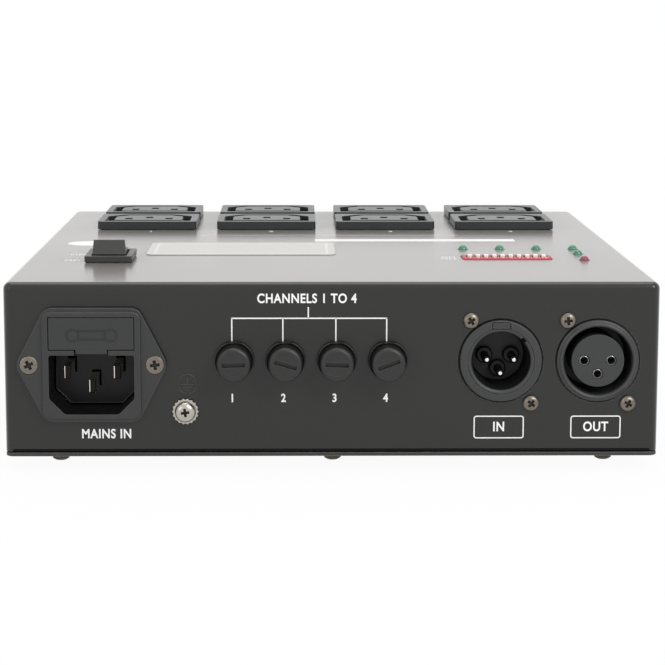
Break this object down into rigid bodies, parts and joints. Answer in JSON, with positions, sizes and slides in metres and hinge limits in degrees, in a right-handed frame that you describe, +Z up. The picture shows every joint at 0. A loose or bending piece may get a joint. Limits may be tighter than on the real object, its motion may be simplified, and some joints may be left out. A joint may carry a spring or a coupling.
{
  "type": "dmx switch pack",
  "caption": "Low steel-cased lighting switch pack with mains outlets and a rocker on the lid, and a fused inlet, panel fuses and data sockets on the front.",
  "frame": {"origin": "on the surface that the feet stand on, under the middle of the whole object's box", "axes": "+Z up, the connector panel faces -Y, +X to the right when facing that panel"},
  "size_m": [0.1862, 0.2162, 0.0609],
  "materials": {
    "case_paint": "satin",
    "floor_paint": "satin",
    "foot_rubber": "matte",
    "moulded_black": "satin",
    "blade_metal": "polished",
    "screw_steel": "satin",
    "fuse_glass": "clear",
    "dip_red": "satin",
    "white_plastic": "satin",
    "led_green": "gloss",
    "led_red": "gloss",
    "circuit_board": "satin",
    "transformer_iron": "satin"
  },
  "bodies": {
    "root": {"bottom_plate": "floor_paint", "control_board": "circuit_board", "dip_switch_body": "dip_red", "dmx_in_insert": "moulded_black", "dmx_in_shell": "moulded_black", "dmx_out_insert": "moulded_black", "dmx_out_shell": "moulded_black", "earth_screw": "screw_steel", "foot_front_left": "foot_rubber", "foot_front_right": "foot_rubber", "foot_rear_left": "foot_rubber", "foot_rear_right": "foot_rubber", "fuse_holder_1": "moulded_black", "fuse_holder_2": "moulded_black", "fuse_holder_3": "moulded_black", "fuse_holder_4": "moulded_black", "inlet_body": "moulded_black", "inlet_pin_earth": "blade_metal", "inlet_pin_live": "blade_metal", "inlet_pin_neutral": "blade_metal", "led_channel_1": "led_green", "led_channel_2": "led_green", "led_channel_3": "led_green", "led_channel_4": "led_green", "led_power": "led_red", "led_signal": "led_green", "outlet_1": "moulded_black", "outlet_2": "moulded_black", "outlet_3": "moulded_black", "outlet_4": "moulded_black", "outlet_5": "moulded_black", "outlet_6": "moulded_black", "outlet_7": "moulded_black", "outlet_8": "moulded_black", "power_switch_body": "moulded_black", "relay_board": "circuit_board", "top_cover": "case_paint", "transformer": "transformer_iron"},
    "fuse_1": {"fuse_1": "fuse_glass"},
    "fuse_cap_1": {"fuse_cap_1": "moulded_black"},
    "fuse_2": {"fuse_2": "fuse_glass"},
    "fuse_cap_2": {"fuse_cap_2": "moulded_black"},
    "fuse_3": {"fuse_3": "fuse_glass"},
    "fuse_cap_3": {"fuse_cap_3": "moulded_black"},
    "fuse_4": {"fuse_4": "fuse_glass"},
    "fuse_cap_4": {"fuse_cap_4": "moulded_black"},
    "fuse_drawer": {"fuse_drawer": "moulded_black", "drawer_fuse": "fuse_glass", "spare_fuse": "fuse_glass"},
    "power_rocker": {"power_rocker": "moulded_black"},
    "dip_slider_1": {"dip_slider_1": "white_plastic"},
    "dip_slider_2": {"dip_slider_2": "white_plastic"},
    "dip_slider_3": {"dip_slider_3": "white_plastic"},
    "dip_slider_4": {"dip_slider_4": "white_plastic"},
    "dip_slider_5": {"dip_slider_5": "white_plastic"},
    "dip_slider_6": {"dip_slider_6": "white_plastic"},
    "dip_slider_7": {"dip_slider_7": "white_plastic"},
    "dip_slider_8": {"dip_slider_8": "white_plastic"},
    "dip_slider_9": {"dip_slider_9": "white_plastic"},
    "dip_slider_10": {"dip_slider_10": "white_plastic"}
  },
  "joints": [
    {"name": "fuse_1_pull", "type": "slide", "parent": "root", "child": "fuse_1", "axis": [0, -1, 0], "range_m": [0, 0.03]},
    {"name": "fuse_cap_1_turn", "type": "hinge", "parent": "fuse_1", "child": "fuse_cap_1", "pos_m": [-0.0278, -0.0999, 0.032], "axis": [0, -1, 0], "range_deg": [0, 60]},
    {"name": "fuse_2_pull", "type": "slide", "parent": "root", "child": "fuse_2", "axis": [0, -1, 0], "range_m": [0, 0.03]},
    {"name": "fuse_cap_2_turn", "type": "hinge", "parent": "fuse_2", "child": "fuse_cap_2", "pos_m": [-0.01327, -0.0999, 0.032], "axis": [0, -1, 0], "range_deg": [0, 60]},
    {"name": "fuse_3_pull", "type": "slide", "parent": "root", "child": "fuse_3", "axis": [0, -1, 0], "range_m": [0, 0.03]},
    {"name": "fuse_cap_3_turn", "type": "hinge", "parent": "fuse_3", "child": "fuse_cap_3", "pos_m": [0.00127, -0.0999, 0.032], "axis": [0, -1, 0], "range_deg": [0, 60]},
    {"name": "fuse_4_pull", "type": "slide", "parent": "root", "child": "fuse_4", "axis": [0, -1, 0], "range_m": [0, 0.03]},
    {"name": "fuse_cap_4_turn", "type": "hinge", "parent": "fuse_4", "child": "fuse_cap_4", "pos_m": [0.0158, -0.0999, 0.032], "axis": [0, -1, 0], "range_deg": [0, 60]},
    {"name": "fuse_drawer_pull", "type": "slide", "parent": "root", "child": "fuse_drawer", "axis": [0, -1, 0], "range_m": [0, 0.02]},
    {"name": "power_rocker_tip", "type": "hinge", "parent": "root", "child": "power_rocker", "pos_m": [-0.06705, -0.0439, 0.0543], "axis": [1, 0, 0], "range_deg": [0, 32]},
    {"name": "dip_slider_1_slide", "type": "slide", "parent": "root", "child": "dip_slider_1", "axis": [0, 1, 0], "range_m": [0, 0.0022]},
    {"name": "dip_slider_2_slide", "type": "slide", "parent": "root", "child": "dip_slider_2", "axis": [0, 1, 0], "range_m": [0, 0.0022]},
    {"name": "dip_slider_3_slide", "type": "slide", "parent": "root", "child": "dip_slider_3", "axis": [0, 1, 0], "range_m": [0, 0.0022]},
    {"name": "dip_slider_4_slide", "type": "slide", "parent": "root", "child": "dip_slider_4", "axis": [0, 1, 0], "range_m": [0, 0.0022]},
    {"name": "dip_slider_5_slide", "type": "slide", "parent": "root", "child": "dip_slider_5", "axis": [0, 1, 0], "range_m": [0, 0.0022]},
    {"name": "dip_slider_6_slide", "type": "slide", "parent": "root", "child": "dip_slider_6", "axis": [0, 1, 0], "range_m": [0, 0.0022]},
    {"name": "dip_slider_7_slide", "type": "slide", "parent": "root", "child": "dip_slider_7", "axis": [0, 1, 0], "range_m": [0, 0.0022]},
    {"name": "dip_slider_8_slide", "type": "slide", "parent": "root", "child": "dip_slider_8", "axis": [0, 1, 0], "range_m": [0, 0.0022]},
    {"name": "dip_slider_9_slide", "type": "slide", "parent": "root", "child": "dip_slider_9", "axis": [0, 1, 0], "range_m": [0, 0.0022]},
    {"name": "dip_slider_10_slide", "type": "slide", "parent": "root", "child": "dip_slider_10", "axis": [0, 1, 0], "range_m": [0, 0.0022]}
  ]
}
